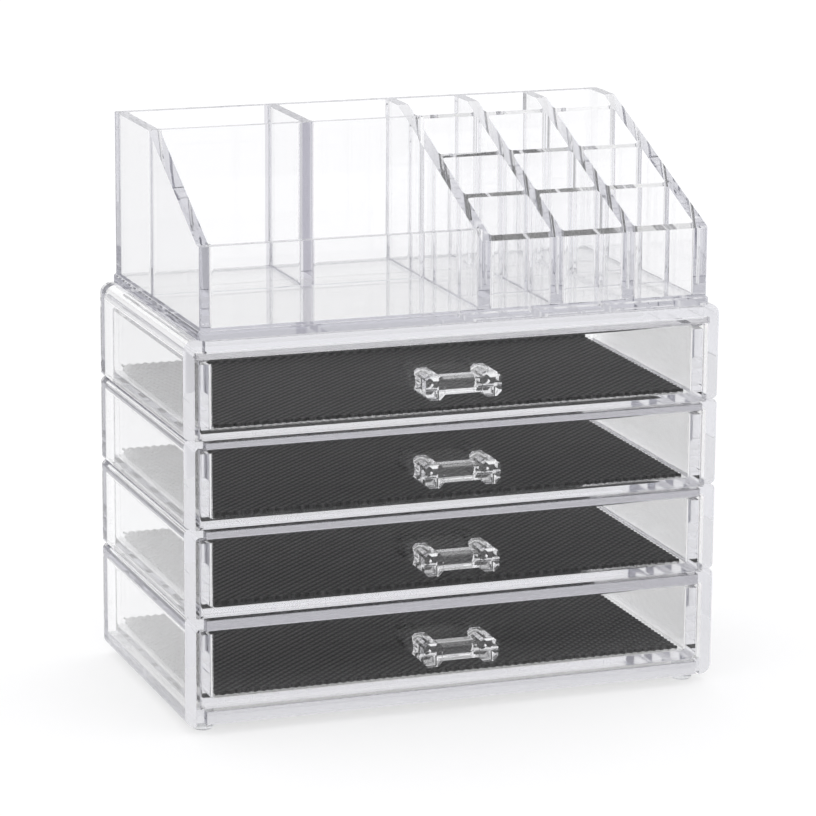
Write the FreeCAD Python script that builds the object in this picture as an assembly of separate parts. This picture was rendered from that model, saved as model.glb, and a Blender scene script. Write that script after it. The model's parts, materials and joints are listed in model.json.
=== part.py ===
import FreeCAD, Part
import math
import os

# Countertop organizer: a chest of four drawers in stacked clear cases, with a
# lift-off compartment tray on top.  Millimetres, +X right, +Y to the back, +Z up.
# The origin is on the table, under the middle of the outer box.

# Chest: four open-fronted cases stacked on a base plate
CASE_WIDTH = 240.0
CASE_DEPTH = 124.5
SIDE_WALL = 5.0
BACK_WALL = 2.5
BAY_HEIGHT = 35.0
BASE_THICKNESS = 5.8
LOW_SHELF = 4.5
MIDDLE_SHELF = 3.2
HIGH_SHELF = 2.8
LID_THICKNESS = 5.4
LID_RIB_DROP = 2.6
LID_RIB_WIDTH = 4.6
LID_RIB_SETBACK = 2.7
SEAM_RISE = 1.1
SKIRT = 1.4
LIP_REACH = 4.3
LIP_INSET = 8.35
LIP_ROUND = 0.9
CASE_ROUND = 4.6
SEAM_ROUND = 2.4
BAY_FILLET = 2.0
BOND_LINE = 0.05

# Feet
FOOT_RADIUS = 4.5
FOOT_REACH = 3.3
FOOT_BEVEL = 0.7
FOOT_WALL_GAP = 0.6
FOOT_SETBACK = 8.0

# Drawers
PANEL_THICKNESS = 2.4
PANEL_PROUD = 1.1
PANEL_SIDE_GAP = 1.8
PANEL_TOP_GAP = 0.5
PANEL_ROUND = 0.6
GLIDE_GAP = 0.3
BOX_SIDE_GAP = 2.0
BOX_REAR_GAP = 0.6
BOX_WALL = 4.4
BOX_BACK_WALL = 2.2
BOX_FLOOR = 3.9
BOX_RIM_DROP = 2.2
BOX_CORNER = 6.0
BOX_EDGE = 2.8
BOX_INNER_CORNER = 2.6
BOX_INNER_EDGE = 0.7
BOX_FRONT_LAND = 0.4

# Liner mats
MAT_THICKNESS = 1.4
MAT_SIDE_GAP = 2.9
MAT_FRONT_GAP = 3.2
MAT_REAR_GAP = 0.8

# Handles: two eight-sided blocks joined by a bar, standing on the drawer panel
HANDLE_WIDTH = 33.6
HANDLE_HEIGHT = 10.3
HANDLE_DEPTH = 16.9
HANDLE_BLOCK = 8.4
HANDLE_BEVEL = 2.0
HANDLE_OFFSET = -3.7
HANDLE_RISE = 14.4
BAR_HEIGHT = 6.6
BAR_DEPTH = 10.6
BAR_SETBACK = 0.8
BAR_BEVEL = 0.6
WAIST_RADIUS = 3.8
BOSS_RADIUS = 2.3

# Compartment tray
TRAY_SEAT_GAP = 0.2
TRAY_WIDTH = 226.3
TRAY_DEPTH = 125.2
TRAY_PROUD = 1.6
TRAY_HEIGHT = 75.2
TRAY_FLOOR = 4.2
TRAY_SIDE_WALL = 5.0
TRAY_END_WALL = 4.1
TRAY_CORNER = 1.0
FLANGE_HEIGHT = 3.6
FLANGE_PROUD = 1.0
FLANGE_BEVEL = 0.6
POCKET_CORNER = 1.6
COLUMNS = 3
ROWS = 4
COLUMN_WIDTH = 27.7
COLUMN_WALL = 5.0
ROW_PITCH = 30.5
ROW_WALL = 2.8
RIGHT_FRONT_HEIGHT = 33.6
RIGHT_FLAT_TOP = 20.6
LEFT_FRONT_HEIGHT = 38.7
BAY_WALL = 3.0
BAY_DEPTH = 45.8
BAY_WIDTH = 63.3
BAY_DIVIDER = 5.0

OVERSHOOT = 10.0

# Places that follow from the sizes above
HANDLE_PROUD = PANEL_PROUD + BOND_LINE + HANDLE_DEPTH
FRONT = (HANDLE_PROUD - CASE_DEPTH) / 2
BACK = FRONT + CASE_DEPTH
HALF_WIDTH = CASE_WIDTH / 2
HALF_BAY = HALF_WIDTH - SIDE_WALL
PANEL_BACK = FRONT - PANEL_PROUD + PANEL_THICKNESS
BOX_BACK = BACK - BACK_WALL - BOX_REAR_GAP
BOX_HALF = HALF_BAY - BOX_SIDE_GAP
SHELVES = (LOW_SHELF, MIDDLE_SHELF, HIGH_SHELF, LID_THICKNESS)


def vector(x, y, z):
    return FreeCAD.Vector(x, y, z)


def block(x0, x1, y0, y1, z0, z1):
    return Part.makeBox(x1 - x0, y1 - y0, z1 - z0, vector(x0, y0, z0))


def rounded_outline(u0, u1, v0, v1, radii, place):
    """Closed wire of a rectangle whose corners have the given radii.

    radii goes low-left, low-right, high-right, high-left; place turns a flat
    point (u, v) into a point in space.
    """
    corners = ((u0, v0, 1, 1), (u1, v0, -1, 1), (u1, v1, -1, -1), (u0, v1, 1, -1))
    stops = []
    for index, (u, v, du, dv) in enumerate(corners):
        radius = radii[index]
        centre = (u + du * radius, v + dv * radius)
        along_v = (u, centre[1])
        along_u = (centre[0], v)
        middle = (centre[0] - du * radius * math.sqrt(0.5), centre[1] - dv * radius * math.sqrt(0.5))
        arc = (along_v, middle, along_u)
        stops.append(arc if index % 2 == 0 else arc[::-1])
    edges = []
    for index, arc in enumerate(stops):
        if radii[index] > 0:
            edges.append(Part.Arc(place(*arc[0]), place(*arc[1]), place(*arc[2])).toShape())
        following = stops[(index + 1) % len(stops)]
        edges.append(Part.makeLine(place(*arc[2]), place(*following[0])))
    return Part.Wire(edges)


def cross_section(x0, x1, z0, z1, radii, y0, y1):
    """Prism along Y with a rounded rectangle across."""
    wire = rounded_outline(x0, x1, z0, z1, radii, lambda u, v: vector(u, y0, v))
    return Part.Face(wire).extrude(vector(0, y1 - y0, 0))


def plan_outline(x0, x1, y0, y1, radius, z):
    return rounded_outline(x0, x1, y0, y1, (radius,) * 4, lambda u, v: vector(u, v, z))


def plan_prism(x0, x1, y0, y1, radius, z0, z1):
    """Prism along Z with rounded upright corners."""
    return Part.Face(plan_outline(x0, x1, y0, y1, radius, z0)).extrude(vector(0, 0, z1 - z0))


def edges_at(solid, test):
    return [edge for edge in solid.Edges if all(test(vertex.Point) for vertex in edge.Vertexes)]


def near(value, target):
    return abs(value - target) < 0.01


def floor_level(tier):
    """Height of the surface that a drawer glides on; tier 0 is the lowest."""
    return FOOT_REACH + SKIRT + BASE_THICKNESS + tier * BAY_HEIGHT + sum(SHELVES[:tier])


def seam_level(tier):
    """Height where a case stands on the case below."""
    return floor_level(tier) + SEAM_RISE if tier else FOOT_REACH


def front_lip(z0, z1):
    """Rounded nose that a shelf carries ahead of the case walls."""
    half = HALF_WIDTH - LIP_INSET
    nose = block(-half, half, FRONT - LIP_REACH, FRONT, z0, z1)
    outline = edges_at(nose, lambda point: near(point.y, FRONT - LIP_REACH))
    return nose.makeFillet(LIP_ROUND, outline)


def tier_case(tier):
    """One case: two side walls, a back and the shelf that closes it above."""
    top_tier = tier == len(SHELVES) - 1
    shelf_low = floor_level(tier) + BAY_HEIGHT
    shelf_high = shelf_low + SHELVES[tier]
    if top_tier:
        shelf_low = shelf_low + LID_RIB_DROP
        shelf_high = shelf_high + LID_RIB_DROP
    low = seam_level(tier)
    high = shelf_high if top_tier else seam_level(tier + 1) - BOND_LINE
    low_round = SEAM_ROUND if tier else CASE_ROUND
    high_round = CASE_ROUND if top_tier else SEAM_ROUND
    outer_radii = (low_round, low_round, high_round, high_round)
    case = cross_section(-HALF_WIDTH, HALF_WIDTH, low, high, outer_radii, FRONT, BACK)
    bay_radii = (0, 0, BAY_FILLET, BAY_FILLET)
    bay = cross_section(-HALF_BAY, HALF_BAY, low - OVERSHOOT, shelf_low, bay_radii,
                        FRONT - OVERSHOOT, BACK - BACK_WALL)
    case = case.cut(bay)
    if not top_tier:
        recess = block(-HALF_BAY, HALF_BAY, FRONT - OVERSHOOT, BACK - BACK_WALL,
                       shelf_high, high + OVERSHOOT)
        case = case.cut(recess)
    case = case.fuse(front_lip(shelf_low, shelf_high))
    if top_tier:
        rib_front = FRONT - LIP_REACH + LID_RIB_SETBACK
        rib = block(-HALF_BAY, HALF_BAY, rib_front, rib_front + LID_RIB_WIDTH,
                    shelf_low - LID_RIB_DROP, shelf_low)
        case = case.fuse(rib)
    return case.removeSplitter()


def base_plate():
    """Floor of the lowest bay, cemented between the side walls and the back."""
    high = floor_level(0)
    low = high - BASE_THICKNESS
    half = HALF_BAY - BOND_LINE
    plate = block(-half, half, FRONT, BACK - BACK_WALL - BOND_LINE, low, high)
    return plate.fuse(front_lip(low, high)).removeSplitter()


def feet():
    """Four round bumpers under the base plate."""
    across = HALF_BAY - FOOT_WALL_GAP - FOOT_RADIUS
    height = FOOT_REACH + SKIRT - BOND_LINE
    bumpers = []
    for x in (-across, across):
        for y in (FRONT + FOOT_SETBACK, BACK - FOOT_SETBACK):
            bumper = Part.makeCylinder(FOOT_RADIUS, height, vector(x, y, 0))
            rim = [edge for edge in bumper.Edges if near(edge.BoundBox.ZMax, 0)]
            bumpers.append(bumper.makeChamfer(FOOT_BEVEL, rim))
    return Part.makeCompound(bumpers)


def drawer_panel(tier):
    half = HALF_BAY - PANEL_SIDE_GAP
    low = floor_level(tier) + GLIDE_GAP
    high = floor_level(tier) + BAY_HEIGHT - PANEL_TOP_GAP
    panel = block(-half, half, PANEL_BACK - PANEL_THICKNESS, PANEL_BACK, low, high)
    face_edges = edges_at(panel, lambda point: near(point.y, PANEL_BACK - PANEL_THICKNESS))
    return panel.makeFillet(PANEL_ROUND, face_edges)


def drawer_box(tier):
    """Moulded tray behind the panel: floor, two sides and a back, open to the front."""
    low = floor_level(tier) + GLIDE_GAP
    high = floor_level(tier) + BAY_HEIGHT - PANEL_TOP_GAP - BOX_RIM_DROP
    outer_radii = (BOX_EDGE, BOX_EDGE, 0, 0)
    shell = cross_section(-BOX_HALF, BOX_HALF, low, high, outer_radii, PANEL_BACK + BOND_LINE, BOX_BACK)
    plan = plan_prism(-BOX_HALF, BOX_HALF, PANEL_BACK - OVERSHOOT, BOX_BACK, BOX_CORNER, low, high)
    inside = BOX_HALF - BOX_WALL
    cavity = plan_prism(-inside, inside, PANEL_BACK - BOX_FRONT_LAND, BOX_BACK - BOX_BACK_WALL,
                        BOX_INNER_CORNER, low + BOX_FLOOR, high)
    cavity = cavity.makeChamfer(BOX_INNER_EDGE, edges_at(cavity, lambda point: near(point.z, low + BOX_FLOOR)))
    return shell.common(plan).cut(cavity)


def liner_mat(tier):
    half = BOX_HALF - BOX_WALL - MAT_SIDE_GAP
    low = floor_level(tier) + GLIDE_GAP + BOX_FLOOR + BOND_LINE
    return block(-half, half, PANEL_BACK + MAT_FRONT_GAP, BOX_BACK - BOX_BACK_WALL - MAT_REAR_GAP,
                 low, low + MAT_THICKNESS)


def octagon_block(x0, x1, y0, y1, z0, z1):
    """Eight-sided prism along Y, its four long corners bevelled."""
    solid = block(x0, x1, y0, y1, z0, z1)
    long_edges = [edge for edge in solid.Edges if near(edge.BoundBox.YLength, y1 - y0)]
    return solid.makeChamfer(HANDLE_BEVEL, long_edges)


def handle(tier):
    """Pull with waisted feet: each block meets the panel on two lands and a boss."""
    seat = PANEL_BACK - PANEL_THICKNESS - BOND_LINE
    front = seat - HANDLE_DEPTH
    low = floor_level(tier) + HANDLE_RISE
    high = low + HANDLE_HEIGHT
    middle = (low + high) / 2
    left = HANDLE_OFFSET - HANDLE_WIDTH / 2
    right = HANDLE_OFFSET + HANDLE_WIDTH / 2
    bar_front = front + BAR_SETBACK
    bar = block(left + HANDLE_BLOCK / 2, right - HANDLE_BLOCK / 2, bar_front, bar_front + BAR_DEPTH,
                middle - BAR_HEIGHT / 2, middle + BAR_HEIGHT / 2)
    bar_length = right - left - HANDLE_BLOCK
    bar_edges = [edge for edge in bar.Edges if near(edge.BoundBox.XLength, bar_length)]
    pull = bar.makeChamfer(BAR_BEVEL, bar_edges)
    for x in (left, right - HANDLE_BLOCK):
        end = octagon_block(x, x + HANDLE_BLOCK, front, seat, low, high)
        waist = Part.makeCylinder(WAIST_RADIUS, HANDLE_BLOCK, vector(x, seat, middle), vector(1, 0, 0))
        boss_axis = vector(x + HANDLE_BLOCK / 2, seat, middle)
        boss = Part.makeCylinder(BOSS_RADIUS, WAIST_RADIUS + BAR_BEVEL, boss_axis, vector(0, -1, 0))
        pull = pull.fuse(end.cut(waist).fuse(boss))
    return pull.removeSplitter()


def slope_cut(x0, x1, y_front, y_slope, y_flat, low, top):
    """Everything above a top line: level at the front, then rising from y_slope to y_flat."""
    profile = ((y_front - OVERSHOOT, low),
               (y_slope, low),
               (y_flat, top),
               (y_flat, top + OVERSHOOT),
               (y_front - OVERSHOOT, top + OVERSHOOT))
    points = [vector(x0, y, z) for y, z in profile]
    return Part.Face(Part.makePolygon(points + points[:1])).extrude(vector(x1 - x0, 0, 0))


def tray_pockets(left, right, front, back, floor, top):
    """Plan limits of every compartment: the stepped grid, two tall bays, one low bay."""
    grid_left = right - TRAY_SIDE_WALL - COLUMNS * COLUMN_WIDTH - (COLUMNS - 1) * COLUMN_WALL
    spans = []
    for column in range(COLUMNS):
        x0 = grid_left + column * (COLUMN_WIDTH + COLUMN_WALL)
        for row in range(ROWS):
            y0 = front + TRAY_END_WALL + row * ROW_PITCH
            y1 = y0 + ROW_PITCH - ROW_WALL
            if row == ROWS - 1:
                y1 = back - TRAY_END_WALL
            spans.append((x0, x0 + COLUMN_WIDTH, y0, y1))
    inner_left = left + TRAY_SIDE_WALL
    inner_right = grid_left - COLUMN_WALL
    bay_front = back - TRAY_END_WALL - BAY_DEPTH
    spans.append((inner_left, inner_left + BAY_WIDTH, bay_front, back - TRAY_END_WALL))
    spans.append((inner_left + BAY_WIDTH + BAY_DIVIDER, inner_right, bay_front, back - TRAY_END_WALL))
    spans.append((inner_left, inner_right, front + TRAY_END_WALL, bay_front - BAY_WALL))
    pockets = [plan_prism(*span, POCKET_CORNER, floor, top) for span in spans]
    return pockets, inner_right, bay_front - BAY_WALL


def top_tray():
    """One moulding: floor, flange, and walls whose tops step and slope to the front."""
    base = floor_level(len(SHELVES)) + LID_RIB_DROP + TRAY_SEAT_GAP
    top = base + TRAY_HEIGHT
    left = -TRAY_WIDTH / 2
    right = TRAY_WIDTH / 2
    front = FRONT - TRAY_PROUD
    back = front + TRAY_DEPTH
    tray = plan_prism(left, right, front, back, TRAY_CORNER, base, top)
    flange = plan_prism(left - FLANGE_PROUD, right + FLANGE_PROUD, front - FLANGE_PROUD,
                        back + FLANGE_PROUD, TRAY_CORNER + FLANGE_PROUD, base, base + FLANGE_HEIGHT)
    flange_top = edges_at(flange, lambda point: near(point.z, base + FLANGE_HEIGHT))
    tray = tray.fuse(flange.makeChamfer(FLANGE_BEVEL, flange_top))
    pockets, grid_start, low_bay_back = tray_pockets(left, right, front, back, base + TRAY_FLOOR, top)
    for hollow in pockets:
        tray = tray.cut(hollow)
    tray = tray.cut(slope_cut(grid_start, right + OVERSHOOT, front, front, back - RIGHT_FLAT_TOP,
                              base + RIGHT_FRONT_HEIGHT, top))
    return tray.cut(slope_cut(left - OVERSHOOT, grid_start, front, front + TRAY_END_WALL, low_bay_back,
                              base + LEFT_FRONT_HEIGHT, top))


def main():
    os.makedirs("parts", exist_ok=True)
    pieces = {"base_plate": base_plate(), "feet": feet(), "top_tray": top_tray()}
    for tier in range(len(SHELVES)):
        number = tier + 1
        pieces[f"tier_case_{number}"] = tier_case(tier)
        pieces[f"drawer_box_{number}"] = drawer_box(tier)
        pieces[f"drawer_panel_{number}"] = drawer_panel(tier)
        pieces[f"handle_{number}"] = handle(tier)
        pieces[f"liner_mat_{number}"] = liner_mat(tier)
    for name, shape in pieces.items():
        shape.exportStep(f"parts/{name}.step")


main()
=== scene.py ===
import json
import math

import bmesh
import bpy
from mathutils import Matrix, Vector


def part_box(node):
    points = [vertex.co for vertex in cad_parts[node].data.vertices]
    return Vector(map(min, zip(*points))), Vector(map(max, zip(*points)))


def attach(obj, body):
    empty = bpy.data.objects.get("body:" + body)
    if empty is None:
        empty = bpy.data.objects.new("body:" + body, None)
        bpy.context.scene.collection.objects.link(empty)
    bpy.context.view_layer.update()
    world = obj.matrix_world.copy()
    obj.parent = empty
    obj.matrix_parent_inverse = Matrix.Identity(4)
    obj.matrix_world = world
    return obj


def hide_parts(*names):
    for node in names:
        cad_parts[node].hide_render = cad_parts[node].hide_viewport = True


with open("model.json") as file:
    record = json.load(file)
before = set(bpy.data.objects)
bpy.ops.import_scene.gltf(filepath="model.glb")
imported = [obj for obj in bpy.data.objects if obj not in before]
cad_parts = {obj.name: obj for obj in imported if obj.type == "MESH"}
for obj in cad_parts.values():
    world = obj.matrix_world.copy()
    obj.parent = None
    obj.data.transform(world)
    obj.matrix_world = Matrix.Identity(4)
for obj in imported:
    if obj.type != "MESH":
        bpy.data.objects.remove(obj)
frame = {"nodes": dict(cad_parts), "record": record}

bl_info = {
    "name": "Clear Drawer Organizer",
    "version": (1, 0, 0),
    "blender": (4, 5, 0),
    "location": "View3D > Sidebar > Organizer",
    "description": "Finishes, liner mats and studio for a clear countertop organizer with drawers",
    "category": "Object",
}

CLEAR_NODES = [row["node"] for row in frame["record"]["subparts"] if row["material_slot"] == "clear"]
LINER_NODES = [row["node"] for row in frame["record"]["subparts"] if row["material_slot"] == "liner"]
BUMPER_NODES = [row["node"] for row in frame["record"]["subparts"] if row["material_slot"] == "bumper"]

# Traces of handling: patches and ripples per metre, and the share of the ripple's height.
SHEET_MARKS = {"patch_scale": 11.0, "ripple_scale": 16.0, "ripple_share": 0.35}
MOULDED_MARKS = {"patch_scale": 16.0, "ripple_scale": 38.0, "ripple_share": 1.0}

# Share of the top case's height above the floor over which the lips take on their painted shade, from
# none at the floor.
LIP_RAMP = 0.25

# Where the floor's lift fades out for mirrored rays, in metres from the middle of the organizer.
FRONT_FADE = (-0.15, -0.05)
LEFT_FADE = (-0.35, -0.12)
# A ray that has crossed more faces than this is deep inside the clear pieces.
DEEP_CROSSINGS = 2.5

# Clear walls inside one another need many bounces before a ray leaves them.
MAX_BOUNCES = 256
CLEAR_BOUNCES = 200
TRANSPARENT_BOUNCES = 32

NEAR = 1e-6


# ---------------------------------------------------------------- settings

class AcrylicFinish(bpy.types.PropertyGroup):
    body_colour: bpy.props.FloatVectorProperty(
        name="Body colour", description="Colour of light passing the polished faces",
        subtype="COLOR", size=3, min=0, max=1, default=(1.0, 1.0, 1.0))
    depth_colour: bpy.props.FloatVectorProperty(
        name="Depth colour", description="Tint that long paths through the plastic take on",
        subtype="COLOR", size=3, min=0, max=1, default=(0.50, 0.50, 0.57))
    moulded_density: bpy.props.FloatProperty(
        name="Moulded density",
        description="How fast the depth colour builds up in moulded pieces, per metre",
        min=0, max=100, default=8.5)
    sheet_density: bpy.props.FloatProperty(
        name="Sheet density",
        description="How fast the depth colour builds up in sheet pieces, per metre",
        min=0, max=100, default=4.0)
    refraction: bpy.props.FloatProperty(
        name="Refractive index", description="Index of cast acrylic", min=1, max=2, default=1.49)
    # The lip colour is painted shade: a grey body colour on the lips' fronts, within the lip reach and
    # below the lid thickness, in place of their darker look.
    lip_shade_colour: bpy.props.FloatVectorProperty(
        name="Lip colour", description="Colour of light passing the sawn noses of the lips",
        subtype="COLOR", size=3, min=0, max=1, default=(0.39, 0.385, 0.41))
    lip_reach: bpy.props.FloatProperty(
        name="Lip reach", description="How far the sawn noses go back from the lips' fronts",
        subtype="DISTANCE", unit="LENGTH", min=0, max=0.02, default=0.0041)
    lid_thickness: bpy.props.FloatProperty(
        name="Lid thickness",
        description="Height at the top of the case that stays clear of the lip colour",
        subtype="DISTANCE", unit="LENGTH", min=0, max=0.02, default=0.0054)
    # The divider colour is painted shade: a grey body colour on the ends of the tray's divider, in place
    # of its darker look seen lengthwise.
    divider_shade_colour: bpy.props.FloatVectorProperty(
        name="Divider colour", description="Colour of light passing the tray's thick divider lengthwise",
        subtype="COLOR", size=3, min=0, max=1, default=(0.58, 0.57, 0.62))
    divider_place: bpy.props.FloatProperty(
        name="Divider place",
        description="Middle of the tray's divider, from the middle of the organizer",
        subtype="DISTANCE", unit="LENGTH", min=-0.1, max=0.1, default=-0.04235)
    divider_width: bpy.props.FloatProperty(
        name="Divider width", description="Width of the coloured ends of the divider",
        subtype="DISTANCE", unit="LENGTH", min=0, max=0.02, default=0.0049)
    divider_start: bpy.props.FloatProperty(
        name="Divider start", description="Front end of the divider, behind the middle of the organizer",
        subtype="DISTANCE", unit="LENGTH", min=-0.1, max=0.1, default=0.0172)
    haze: bpy.props.FloatProperty(
        name="Wiping haze", description="Roughness added where the faces have been handled",
        min=0, max=0.2, default=0.012)
    ripple: bpy.props.FloatProperty(
        name="Moulding ripple", description="Height of the faint waves left in moulded faces",
        subtype="DISTANCE", unit="LENGTH", min=0, max=0.001, default=0.00004)


class LinerFinish(bpy.types.PropertyGroup):
    # The rib colour is painted light on the ribs' tops and the groove colour painted shade in the
    # grooves.
    lit_rib_colour: bpy.props.FloatVectorProperty(
        name="Rib colour", description="Worn tops of the ribs",
        subtype="COLOR", size=3, min=0, max=1, default=(0.105, 0.105, 0.108))
    shaded_groove_colour: bpy.props.FloatVectorProperty(
        name="Groove colour", description="Shaded grooves between the ribs",
        subtype="COLOR", size=3, min=0, max=1, default=(0.002, 0.002, 0.0022))
    rib_pitch: bpy.props.FloatProperty(
        name="Rib pitch", description="Distance from rib to rib",
        subtype="DISTANCE", unit="LENGTH", min=0.001, max=0.02, default=0.00302)
    rib_angle: bpy.props.FloatProperty(
        name="Rib angle", description="Turn of the main ribs from the drawer's width",
        subtype="ANGLE", unit="ROTATION", default=math.radians(42))
    cross_angle: bpy.props.FloatProperty(
        name="Crossing angle", description="Turn of the second ribs from the main ones",
        subtype="ANGLE", unit="ROTATION", default=math.radians(60))
    tooth_pitch: bpy.props.FloatProperty(
        name="Tooth pitch", description="Distance from tooth to tooth of the pinked edge",
        subtype="DISTANCE", unit="LENGTH", min=0.001, max=0.02, default=0.0036)
    tooth_depth: bpy.props.FloatProperty(
        name="Tooth depth", description="Depth of the pinked edge",
        subtype="DISTANCE", unit="LENGTH", min=0, max=0.003, default=0.0013)
    curl_rows: bpy.props.IntProperty(
        name="Curl rows", description="Rows at the back edge that turn up", min=0, max=12, default=4)
    curl_step: bpy.props.FloatProperty(
        name="Curl step", description="Turn from row to row of the curl",
        subtype="ANGLE", unit="ROTATION", default=math.radians(8))
    grip_start: bpy.props.FloatProperty(
        name="Grip start",
        description="Where the mat begins to cling to the drawer, from its front edge",
        subtype="DISTANCE", unit="LENGTH", min=0, max=0.2, default=0.0358)
    grip_end: bpy.props.FloatProperty(
        name="Grip end", description="Where the mat stops clinging to the drawer, from its front edge",
        subtype="DISTANCE", unit="LENGTH", min=0, max=0.2, default=0.0465)
    grip_depth: bpy.props.FloatProperty(
        name="Grip depth", description="How far the clinging part of the mat is drawn down",
        subtype="DISTANCE", unit="LENGTH", min=0, max=0.001, default=0.00007)


class BumperFinish(bpy.types.PropertyGroup):
    body_colour: bpy.props.FloatVectorProperty(
        name="Body colour", description="Colour of the soft clear bumper",
        subtype="COLOR", size=3, min=0, max=1, default=(0.90, 0.91, 0.93))
    frost: bpy.props.FloatProperty(
        name="Frost", description="Roughness of the bumper's surface", min=0, max=1, default=0.28)


class StudioSettings(bpy.types.PropertyGroup):
    floor_size: bpy.props.FloatProperty(
        name="Floor size", description="Side of the square floor",
        subtype="DISTANCE", unit="LENGTH", min=1, max=100, default=14.0)
    floor_colour: bpy.props.FloatVectorProperty(
        name="Floor colour", description="Matte colour of the floor",
        subtype="COLOR", size=3, min=0, max=1, default=(0.42, 0.42, 0.43))
    floor_lift: bpy.props.FloatProperty(
        name="Floor lift", description="Light added to the floor as seen, to reach white",
        min=0, max=1, default=0.645)
    front_lift: bpy.props.FloatProperty(
        name="Front lift", description="Share of the floor lift that mirrored rays find in front",
        min=0, max=1, default=0.04)
    left_lift: bpy.props.FloatProperty(
        name="Left lift", description="Share of the floor lift that mirrored rays find on the left",
        min=0, max=1, default=0.50)
    lens_side: bpy.props.FloatProperty(
        name="Lens side", description="Brightness of the room on the lens side",
        min=0, max=2, default=0.85)
    overhead: bpy.props.FloatProperty(
        name="Overhead", description="Brightness of the panel overhead", min=0, max=2, default=1.10)
    camera_place: bpy.props.FloatVectorProperty(
        name="Camera place", description="Where the camera stands",
        subtype="TRANSLATION", unit="LENGTH", size=3, default=(-0.57379, -1.55815, 0.5191))
    camera_yaw: bpy.props.FloatProperty(
        name="Camera yaw", description="Turn to the right of straight back",
        subtype="ANGLE", unit="ROTATION", default=math.radians(20.142))
    camera_pitch: bpy.props.FloatProperty(
        name="Camera pitch", description="Tilt below the level",
        subtype="ANGLE", unit="ROTATION", default=math.radians(13.525))
    camera_roll: bpy.props.FloatProperty(
        name="Camera roll", description="Turn about the view axis",
        subtype="ANGLE", unit="ROTATION", default=math.radians(0.423))
    focal_length: bpy.props.FloatProperty(
        name="Focal length", description="Focal length on a 36 mm wide sensor, in millimetres",
        subtype="DISTANCE_CAMERA", unit="CAMERA", min=10, max=500, default=173.66)


# ---------------------------------------------------------------- materials

def named_material(name):
    material = bpy.data.materials.new(name)
    material.use_nodes = True
    return material, material.node_tree, material.node_tree.nodes["Principled BSDF"]


def add_node(tree, kind, **settings):
    node = tree.nodes.new(kind)
    for key, value in settings.items():
        setattr(node, key, value)
    return node


def math_node(tree, operation, first, second=None):
    """A Math node; numbers are set, sockets are linked."""
    node = add_node(tree, "ShaderNodeMath", operation=operation)
    for slot, value in enumerate((first, second)):
        if value is None:
            continue
        if isinstance(value, (int, float)):
            node.inputs[slot].default_value = value
        else:
            tree.links.new(value, node.inputs[slot])
    return node.outputs[0]


def object_axes(tree):
    """The place on the piece, as a vector and as its three parts."""
    place = add_node(tree, "ShaderNodeTexCoord")
    parts = add_node(tree, "ShaderNodeSeparateXYZ")
    tree.links.new(place.outputs["Object"], parts.inputs["Vector"])
    return place.outputs["Object"], parts.outputs


def fade(tree, value, start, end, low=0.0, high=1.0):
    """A smooth step from low to high while the value goes from start to end."""
    node = add_node(tree, "ShaderNodeMapRange", interpolation_type="SMOOTHSTEP")
    for name, number in (("From Min", start), ("From Max", end), ("To Min", low), ("To Max", high)):
        node.inputs[name].default_value = number
    tree.links.new(value, node.inputs["Value"])
    return node.outputs["Result"]


def paint_shade_where(material, finish, colour, mask):
    """Let the body colour change to a painted shade colour where the mask is 1."""
    tree = material.node_tree
    tone = add_node(tree, "ShaderNodeMix", data_type="RGBA")
    tone.inputs["A"].default_value = (*finish.body_colour, 1)
    tone.inputs["B"].default_value = (*colour, 1)
    tree.links.new(mask, tone.inputs["Factor"])
    tree.links.new(tone.outputs["Result"], tree.nodes["Principled BSDF"].inputs["Base Color"])


def new_group(name, inputs, outputs):
    """An empty shader group; inputs and outputs are (name, kind, default)."""
    group = bpy.data.node_groups.new(name, "ShaderNodeTree")
    for in_out, sockets in (("INPUT", inputs), ("OUTPUT", outputs)):
        for label, kind, default in sockets:
            socket = group.interface.new_socket(label, in_out=in_out, socket_type=kind)
            if default is not None and in_out == "INPUT":
                socket.default_value = default
    return group, add_node(group, "NodeGroupInput"), add_node(group, "NodeGroupOutput")


def handling_group():
    """Faint wiping haze and moulding ripple of a handled clear plastic."""
    group, given, result = new_group(
        "Handled Plastic",
        [("Vector", "NodeSocketVector", None), ("Haze", "NodeSocketFloat", 0.01),
         ("Patch Scale", "NodeSocketFloat", 14.0), ("Ripple Scale", "NodeSocketFloat", 40.0)],
        [("Roughness", "NodeSocketFloat", None), ("Height", "NodeSocketFloat", None)])
    patches = add_node(group, "ShaderNodeTexNoise")
    patches.inputs["Detail"].default_value = 3.0
    group.links.new(given.outputs["Vector"], patches.inputs["Vector"])
    group.links.new(given.outputs["Patch Scale"], patches.inputs["Scale"])
    streaks = add_node(group, "ShaderNodeMapping")
    streaks.inputs["Scale"].default_value = (30.0, 4.0, 4.0)
    streaks.inputs["Rotation"].default_value = (0.3, 0.5, 0.9)
    group.links.new(given.outputs["Vector"], streaks.inputs["Vector"])
    wipes = add_node(group, "ShaderNodeTexNoise")
    wipes.inputs["Scale"].default_value = 12.0
    wipes.inputs["Detail"].default_value = 4.0
    group.links.new(streaks.outputs["Vector"], wipes.inputs["Vector"])
    mask = add_node(group, "ShaderNodeMapRange")
    mask.inputs["From Min"].default_value = 0.52
    mask.inputs["From Max"].default_value = 0.85
    group.links.new(patches.outputs["Fac"], mask.inputs["Value"])
    streaked = math_node(group, "MULTIPLY", mask.outputs["Result"], wipes.outputs["Fac"])
    haze = math_node(group, "MULTIPLY", streaked, given.outputs["Haze"])
    group.links.new(haze, result.inputs["Roughness"])
    ripple = add_node(group, "ShaderNodeTexNoise")
    ripple.inputs["Detail"].default_value = 1.0
    group.links.new(given.outputs["Vector"], ripple.inputs["Vector"])
    group.links.new(given.outputs["Ripple Scale"], ripple.inputs["Scale"])
    group.links.new(ripple.outputs["Fac"], result.inputs["Height"])
    return group


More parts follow.
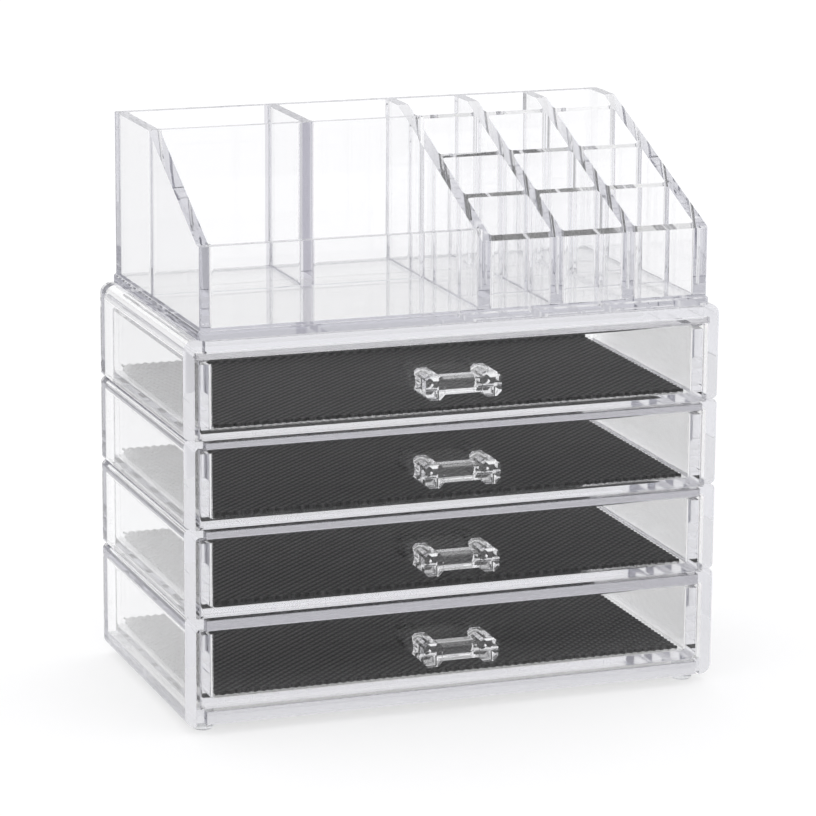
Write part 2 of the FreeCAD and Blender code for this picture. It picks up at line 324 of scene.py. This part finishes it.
def clear_material(name, finish, group, density, patch_scale, ripple_scale, ripple_share):
    """Polished clear plastic: refraction, a depth tint and traces of handling."""
    material, tree, shader = named_material(name)
    shader.inputs["Base Color"].default_value = (*finish.body_colour, 1)
    shader.inputs["Transmission Weight"].default_value = 1.0
    shader.inputs["IOR"].default_value = finish.refraction
    place = add_node(tree, "ShaderNodeTexCoord")
    marks = add_node(tree, "ShaderNodeGroup", node_tree=group)
    marks.inputs["Haze"].default_value = finish.haze
    marks.inputs["Patch Scale"].default_value = patch_scale
    marks.inputs["Ripple Scale"].default_value = ripple_scale
    tree.links.new(place.outputs["Object"], marks.inputs["Vector"])
    tree.links.new(marks.outputs["Roughness"], shader.inputs["Roughness"])
    bump = add_node(tree, "ShaderNodeBump")
    bump.inputs["Strength"].default_value = 1.0
    bump.inputs["Distance"].default_value = finish.ripple * ripple_share
    tree.links.new(marks.outputs["Height"], bump.inputs["Height"])
    tree.links.new(bump.outputs["Normal"], shader.inputs["Normal"])
    depth = add_node(tree, "ShaderNodeVolumeAbsorption")
    depth.inputs["Color"].default_value = (*finish.depth_colour, 1)
    depth.inputs["Density"].default_value = density
    tree.links.new(depth.outputs["Volume"], tree.nodes["Material Output"].inputs["Volume"])
    return material


def paint_lip_shade(material, finish, low, high):
    """Paint shade on the lips' fronts as a grey body colour, less on the base and none on the lid."""
    tree = material.node_tree
    _, axes = object_axes(tree)
    ahead = math_node(tree, "LESS_THAN", axes["Y"], low[1] + finish.lip_reach)
    below_lid = math_node(tree, "LESS_THAN", axes["Z"], high[2] - finish.lid_thickness)
    above_base = add_node(tree, "ShaderNodeMapRange")
    above_base.inputs["From Max"].default_value = low[2] * LIP_RAMP
    tree.links.new(axes["Z"], above_base.inputs["Value"])
    height = math_node(tree, "MULTIPLY", below_lid, above_base.outputs["Result"])
    paint_shade_where(material, finish, finish.lip_shade_colour, math_node(tree, "MULTIPLY", ahead, height))


def paint_divider_shade(material, finish):
    """Paint shade on the ends of the tray's divider as a grey body colour."""
    tree = material.node_tree
    _, axes = object_axes(tree)
    aside = math_node(tree, "ABSOLUTE", math_node(tree, "SUBTRACT", axes["X"], finish.divider_place))
    within = math_node(tree, "LESS_THAN", aside, finish.divider_width / 2)
    behind = math_node(tree, "GREATER_THAN", axes["Y"], finish.divider_start)
    paint_shade_where(material, finish, finish.divider_shade_colour, math_node(tree, "MULTIPLY", within, behind))


def mesh_weave_group():
    """Two crossing sets of ribs, as in a pressed mesh liner."""
    group, given, result = new_group(
        "Ribbed Mesh",
        [("Vector", "NodeSocketVector", None), ("Pitch", "NodeSocketFloat", 0.003),
         ("Angle", "NodeSocketFloat", 0.7), ("Crossing", "NodeSocketFloat", 1.0)],
        [("Rib", "NodeSocketFloat", None), ("Height", "NodeSocketFloat", None),
         ("Wear", "NodeSocketFloat", None)])
    parts = add_node(group, "ShaderNodeSeparateXYZ")
    group.links.new(given.outputs["Vector"], parts.inputs["Vector"])
    second_angle = math_node(group, "ADD", given.outputs["Angle"], given.outputs["Crossing"])
    sets = []
    for angle in (given.outputs["Angle"], second_angle):
        across = math_node(group, "MULTIPLY", parts.outputs["X"], math_node(group, "SINE", angle))
        along = math_node(group, "MULTIPLY", parts.outputs["Y"], math_node(group, "COSINE", angle))
        offset = math_node(group, "SUBTRACT", across, along)
        place = math_node(group, "DIVIDE", offset, given.outputs["Pitch"])
        wave = math_node(group, "COSINE", math_node(group, "MULTIPLY", place, 2 * math.pi))
        sets.append(math_node(group, "MULTIPLY_ADD", wave, 0.5))
        sets[-1].node.inputs[2].default_value = 0.5
    crossing = math_node(group, "MULTIPLY_ADD", sets[1], 0.65)
    crossing.node.inputs[2].default_value = 0.35
    rib = math_node(group, "MULTIPLY", sets[0], crossing)
    group.links.new(rib, result.inputs["Rib"])
    grain = add_node(group, "ShaderNodeTexNoise")
    grain.inputs["Scale"].default_value = 1800.0
    grain.inputs["Detail"].default_value = 2.0
    group.links.new(given.outputs["Vector"], grain.inputs["Vector"])
    pores = math_node(group, "MULTIPLY", grain.outputs["Fac"], 0.15)
    group.links.new(math_node(group, "ADD", rib, pores), result.inputs["Height"])
    cloud = add_node(group, "ShaderNodeTexNoise")
    cloud.inputs["Scale"].default_value = 55.0
    cloud.inputs["Detail"].default_value = 4.0
    group.links.new(given.outputs["Vector"], cloud.inputs["Vector"])
    group.links.new(cloud.outputs["Fac"], result.inputs["Wear"])
    return group


def liner_material(finish):
    material, tree, shader = named_material("Ribbed Mesh Liner")
    place = add_node(tree, "ShaderNodeTexCoord")
    weave = add_node(tree, "ShaderNodeGroup", node_tree=mesh_weave_group())
    weave.inputs["Pitch"].default_value = finish.rib_pitch
    weave.inputs["Angle"].default_value = finish.rib_angle
    weave.inputs["Crossing"].default_value = finish.cross_angle
    tree.links.new(place.outputs["Object"], weave.inputs["Vector"])
    # Painted light and shade of the ribs: lighter tops and dark grooves follow the rib pattern; the wear
    # cloud below darkens at random.
    tone = add_node(tree, "ShaderNodeMix", data_type="RGBA")
    tone.inputs["A"].default_value = (*finish.shaded_groove_colour, 1)
    tone.inputs["B"].default_value = (*finish.lit_rib_colour, 1)
    tree.links.new(weave.outputs["Rib"], tone.inputs["Factor"])
    worn = add_node(tree, "ShaderNodeMix", data_type="RGBA", blend_type="MULTIPLY")
    worn.inputs["Factor"].default_value = 0.25
    tree.links.new(tone.outputs["Result"], worn.inputs["A"])
    tree.links.new(weave.outputs["Wear"], worn.inputs["B"])
    tree.links.new(worn.outputs["Result"], shader.inputs["Base Color"])
    shader.inputs["Roughness"].default_value = 0.62
    shader.inputs["Specular IOR Level"].default_value = 0.35
    bump = add_node(tree, "ShaderNodeBump")
    bump.inputs["Distance"].default_value = 0.0009
    tree.links.new(weave.outputs["Height"], bump.inputs["Height"])
    tree.links.new(bump.outputs["Normal"], shader.inputs["Normal"])
    return material


def bumper_material(finish):
    material, tree, shader = named_material("Soft Clear Bumper")
    place = add_node(tree, "ShaderNodeTexCoord")
    dust = add_node(tree, "ShaderNodeTexNoise")
    dust.inputs["Scale"].default_value = 900.0
    dust.inputs["Detail"].default_value = 3.0
    tree.links.new(place.outputs["Object"], dust.inputs["Vector"])
    rough = add_node(tree, "ShaderNodeMapRange")
    rough.inputs["To Min"].default_value = finish.frost * 0.7
    rough.inputs["To Max"].default_value = finish.frost * 1.4
    tree.links.new(dust.outputs["Fac"], rough.inputs["Value"])
    tree.links.new(rough.outputs["Result"], shader.inputs["Roughness"])
    shader.inputs["Base Color"].default_value = (*finish.body_colour, 1)
    shader.inputs["Transmission Weight"].default_value = 0.85
    shader.inputs["IOR"].default_value = 1.43
    return material


def dress(node, material):
    """Give a node of the frame one material on every slot."""
    materials = frame["nodes"][node].data.materials
    materials.clear()
    materials.append(material)


# ---------------------------------------------------------------- operators

class ORGANIZER_OT_clear_plastic(bpy.types.Operator):
    """Give the cases, drawers, handles and tray their clear acrylic"""
    bl_idname = "organizer.clear_plastic"
    bl_label = "Clear plastic"

    def execute(self, context):
        finish = context.scene.organizer_acrylic
        group = handling_group()
        sheet_look = (finish, group, finish.sheet_density)
        moulded_look = (finish, group, finish.moulded_density)
        sheet = clear_material("Clear Acrylic Sheet", *sheet_look, **SHEET_MARKS)
        moulded = clear_material("Clear Moulded Acrylic", *moulded_look, **MOULDED_MARKS)
        case = clear_material("Clear Acrylic Chest", *sheet_look, **SHEET_MARKS)
        # Painted shade on the chest's lips.
        paint_lip_shade(case, finish, *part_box("tier_case_4"))
        tray = clear_material("Clear Moulded Tray", *moulded_look, **MOULDED_MARKS)
        # Painted shade on the ends of the tray's divider.
        paint_divider_shade(tray, finish)
        dressed_as = {"top_tray": tray, "handle": moulded, "tier_case": case, "base_plate": case}
        for node in CLEAR_NODES:
            kinds = [material for start, material in dressed_as.items() if node.startswith(start)]
            dress(node, kinds[0] if kinds else sheet)
        return {"FINISHED"}


class ORGANIZER_OT_bumpers(bpy.types.Operator):
    """Give the feet their soft clear finish"""
    bl_idname = "organizer.bumpers"
    bl_label = "Bumper feet"

    def execute(self, context):
        material = bumper_material(context.scene.organizer_bumper)
        for node in BUMPER_NODES:
            dress(node, material)
        return {"FINISHED"}


def select_where(mesh, test):
    """In edit mode, select the vertices whose place passes the test."""
    work = bmesh.from_edit_mesh(mesh)
    for vertex in work.verts:
        vertex.select = test(vertex.co)
    work.select_flush_mode()
    bmesh.update_edit_mesh(mesh)


def pinked_sheet(name, low, high, finish):
    """A flat sheet with a toothed edge all round, between two corners."""
    width, length = high[0] - low[0], high[1] - low[1]
    teeth_x = round(width / finish.tooth_pitch)
    teeth_y = round(length / finish.tooth_pitch)
    middle = ((low[0] + high[0]) / 2, (low[1] + high[1]) / 2, low[2])
    bpy.ops.object.select_all(action="DESELECT")
    bpy.ops.mesh.primitive_grid_add(
        x_subdivisions=2 * teeth_x, y_subdivisions=2 * teeth_y, size=1.0, location=middle)
    piece = bpy.context.object
    piece.name = name
    mesh = piece.data
    bpy.ops.object.mode_set(mode="EDIT")
    bpy.ops.mesh.select_all(action="SELECT")
    bpy.ops.transform.resize(value=(width, length, 1.0), center_override=middle)
    half_x, half_y = width / 2, length / 2
    step_x, step_y = width / (2 * teeth_x), length / (2 * teeth_y)
    for axis, half, other_half, step in ((0, half_x, half_y, step_y), (1, half_y, half_x, step_x)):
        for side in (-1, 1):
            def notch(place):
                on_edge = abs(place[axis] - side * half) < NEAR
                count = round((place[1 - axis] + other_half) / step)
                return on_edge and count % 2 == 1
            select_where(mesh, notch)
            shift = [0.0, 0.0, 0.0]
            shift[axis] = -side * finish.tooth_depth
            bpy.ops.transform.translate(value=shift)
    for row in range(finish.curl_rows, 0, -1):
        hinge = half_y - row * step_y
        select_where(mesh, lambda place: place.y > hinge + NEAR)
        bpy.ops.transform.rotate(value=-finish.curl_step, orient_axis="X",
                                 center_override=(middle[0], middle[1] + hinge, middle[2]))
    bpy.ops.object.mode_set(mode="OBJECT")
    area = sum(face.area for face in mesh.polygons)
    thick = piece.modifiers.new("Sheet thickness", "SOLIDIFY")
    thick.thickness = high[2] - low[2]
    thick.offset = 1.0
    bpy.ops.object.modifier_apply(modifier=thick.name)
    bpy.ops.object.mode_set(mode="EDIT")
    start, end = finish.grip_start - half_y, finish.grip_end - half_y
    select_where(mesh, lambda place: abs(place.z) < NEAR and start < place.y < end)
    bpy.ops.transform.translate(value=(0, 0, -finish.grip_depth))
    bpy.ops.object.mode_set(mode="OBJECT")
    bpy.ops.object.transform_apply(location=True, rotation=True, scale=True)
    return piece, width, length, area


class ORGANIZER_OT_liner_mats(bpy.types.Operator):
    """Lay a pinked mesh mat in each drawer"""
    bl_idname = "organizer.liner_mats"
    bl_label = "Liner mats"

    def execute(self, context):
        finish = context.scene.organizer_liner
        material = liner_material(finish)
        for node in LINER_NODES:
            number = node.rsplit("_", 1)[1]
            low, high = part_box(node)
            piece, width, length, area = pinked_sheet("mesh_mat_" + number, low, high, finish)
            piece.data.materials.append(material)
            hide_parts(node)
            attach(piece, "drawer_" + number)
        return {"FINISHED"}


def floor_material(studio):
    """Matte floor, lifted to white for the lens and through the plastic, less so in reflections."""
    material, tree, shader = named_material("Studio Floor")
    shader.inputs["Base Color"].default_value = (*studio.floor_colour, 1)
    shader.inputs["Roughness"].default_value = 1.0
    shader.inputs["Specular IOR Level"].default_value = 0.0
    shader.inputs["Emission Color"].default_value = (1, 1, 1, 1)
    _, axes = object_axes(tree)
    behind = fade(tree, axes["Y"], *FRONT_FADE, low=studio.front_lift)
    right = fade(tree, axes["X"], *LEFT_FADE, low=studio.left_lift)
    path = add_node(tree, "ShaderNodeLightPath")
    deep = math_node(tree, "GREATER_THAN", path.outputs["Transmission Depth"], DEEP_CROSSINGS)
    share = math_node(tree, "MAXIMUM", math_node(tree, "MULTIPLY", behind, right), deep)
    bent = math_node(tree, "MAXIMUM", path.outputs["Is Transmission Ray"], path.outputs["Is Glossy Ray"])
    shared = math_node(tree, "MULTIPLY", bent, share)
    seen = math_node(tree, "MAXIMUM", path.outputs["Is Camera Ray"], shared)
    lift = math_node(tree, "MULTIPLY", seen, studio.floor_lift)
    tree.links.new(lift, shader.inputs["Emission Strength"])
    return material


def studio_world(studio):
    """White surroundings behind and above, a darker room on the lens side."""
    world = bpy.data.worlds.new("Studio")
    world.use_nodes = True
    tree = world.node_tree
    background = tree.nodes["Background"]
    place = add_node(tree, "ShaderNodeTexCoord")
    parts = add_node(tree, "ShaderNodeSeparateXYZ")
    tree.links.new(place.outputs["Generated"], parts.inputs["Vector"])
    backdrop = fade(tree, parts.outputs["Y"], -0.25, 0.25, low=studio.lens_side)
    softbox = fade(tree, parts.outputs["Z"], 0.35, 0.75, high=studio.overhead)
    room = math_node(tree, "MAXIMUM", backdrop, softbox)
    path = add_node(tree, "ShaderNodeLightPath")
    strength = add_node(tree, "ShaderNodeMix", data_type="FLOAT")
    tree.links.new(path.outputs["Is Camera Ray"], strength.inputs["Factor"])
    tree.links.new(room, strength.inputs["A"])
    strength.inputs["B"].default_value = 1.0
    tree.links.new(strength.outputs["Result"], background.inputs["Strength"])
    background.inputs["Color"].default_value = (1, 1, 1, 1)
    return world


class ORGANIZER_OT_studio(bpy.types.Operator):
    """Set the floor, the surroundings and the camera"""
    bl_idname = "organizer.studio"
    bl_label = "Studio"

    def execute(self, context):
        scene = context.scene
        studio = scene.organizer_studio
        bpy.ops.object.select_all(action="DESELECT")
        bpy.ops.mesh.primitive_plane_add(size=studio.floor_size, location=(0, studio.floor_size / 4, 0))
        floor = bpy.context.object
        floor.name = "studio_floor"
        bpy.ops.object.transform_apply(location=True)
        floor.data.materials.append(floor_material(studio))
        scene.world = studio_world(studio)
        lens = bpy.data.cameras.new("Studio camera")
        lens.sensor_width = 36
        lens.lens = studio.focal_length
        lens.clip_end = 50
        camera = bpy.data.objects.new("Studio camera", lens)
        scene.collection.objects.link(camera)
        turn = (Matrix.Rotation(-studio.camera_yaw, 4, "Z")
                @ Matrix.Rotation(math.pi / 2 - studio.camera_pitch, 4, "X")
                @ Matrix.Rotation(studio.camera_roll, 4, "Z"))
        camera.matrix_world = Matrix.Translation(Vector(studio.camera_place)) @ turn
        scene.camera = camera
        scene.view_settings.view_transform = "Standard"
        scene.cycles.max_bounces = MAX_BOUNCES
        scene.cycles.transmission_bounces = CLEAR_BOUNCES
        scene.cycles.glossy_bounces = CLEAR_BOUNCES
        scene.cycles.transparent_max_bounces = TRANSPARENT_BOUNCES
        return {"FINISHED"}


class ORGANIZER_PT_panel(bpy.types.Panel):
    """Lists the organizer's finishes, mats and studio"""
    bl_idname = "ORGANIZER_PT_panel"
    bl_label = "Organizer"
    bl_space_type = "VIEW_3D"
    bl_region_type = "UI"
    bl_category = "Organizer"

    def draw(self, context):
        layout = self.layout
        for settings, operator in PANEL_ROWS:
            box = layout.box()
            group = getattr(context.scene, settings)
            for name in group.__annotations__:
                box.prop(group, name)
            box.operator(operator)


SETTINGS = {
    "organizer_acrylic": AcrylicFinish,
    "organizer_liner": LinerFinish,
    "organizer_bumper": BumperFinish,
    "organizer_studio": StudioSettings,
}

PANEL_ROWS = (
    ("organizer_acrylic", "organizer.clear_plastic"),
    ("organizer_liner", "organizer.liner_mats"),
    ("organizer_bumper", "organizer.bumpers"),
    ("organizer_studio", "organizer.studio"),
)

CLASSES = (
    AcrylicFinish,
    LinerFinish,
    BumperFinish,
    StudioSettings,
    ORGANIZER_OT_clear_plastic,
    ORGANIZER_OT_liner_mats,
    ORGANIZER_OT_bumpers,
    ORGANIZER_OT_studio,
    ORGANIZER_PT_panel,
)


def register():
    for cls in CLASSES:
        bpy.utils.register_class(cls)
    for name, settings in SETTINGS.items():
        setattr(bpy.types.Scene, name, bpy.props.PointerProperty(type=settings))


def unregister():
    for name in SETTINGS:
        delattr(bpy.types.Scene, name)
    for cls in reversed(CLASSES):
        bpy.utils.unregister_class(cls)


def main():
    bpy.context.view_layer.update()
    register()
    bpy.ops.organizer.clear_plastic()
    bpy.ops.organizer.bumpers()
    bpy.ops.organizer.liner_mats()
    bpy.ops.organizer.studio()


if __name__ == "__main__":
    main()
